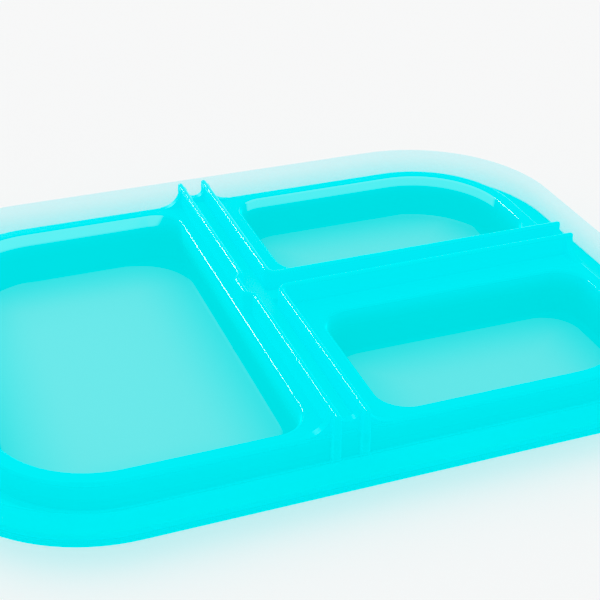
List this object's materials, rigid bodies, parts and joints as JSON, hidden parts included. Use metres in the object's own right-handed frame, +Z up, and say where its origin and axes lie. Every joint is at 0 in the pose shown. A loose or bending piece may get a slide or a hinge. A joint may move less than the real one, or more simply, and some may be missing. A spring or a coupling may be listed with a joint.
{
  "type": "lunch box",
  "caption": "Divided lunch box lying open: a rounded lid turned seal side up beside its compartmented box, with two side clips.",
  "frame": {"origin": "centre of the bounding box at its base, with the lid lying open beside the box", "axes": "+X from the box to the open lid, +Y across towards the back clip, +Z up"},
  "size_m": [0.4961, 0.1768, 0.04],
  "materials": {
    "lid_plastic": "polished, clear tinted",
    "box_plastic": "polished, clear tinted",
    "clip_plastic": "polished, clear tinted",
    "seal": "soft, translucent",
    "pin_steel": "drawn wire"
  },
  "bodies": {
    "box": {"box_base": "box_plastic", "pin_front": "pin_steel", "pin_back": "pin_steel"},
    "lid": {"lid": "lid_plastic", "rim_gasket": "seal", "divider_seal": "seal"},
    "clip_front": {"clip_front": "clip_plastic"},
    "clip_back": {"clip_back": "clip_plastic"}
  },
  "joints": [
    {"name": "lid_turnover", "type": "hinge", "parent": "box", "child": "lid", "pos_m": [-0.0019, 0, 0.02515], "axis": [0, -1, 0], "range_deg": [0, 180]},
    {"name": "clip_back_swing", "type": "hinge", "parent": "box", "child": "clip_back", "pos_m": [-0.1419, 0.0805, 0.025], "axis": [1, 0, 0], "range_deg": [0, 165.9]},
    {"name": "clip_front_swing", "type": "hinge", "parent": "box", "child": "clip_front", "pos_m": [-0.1419, -0.0805, 0.025], "axis": [-1, 0, 0], "range_deg": [0, 165.9]}
  ]
}
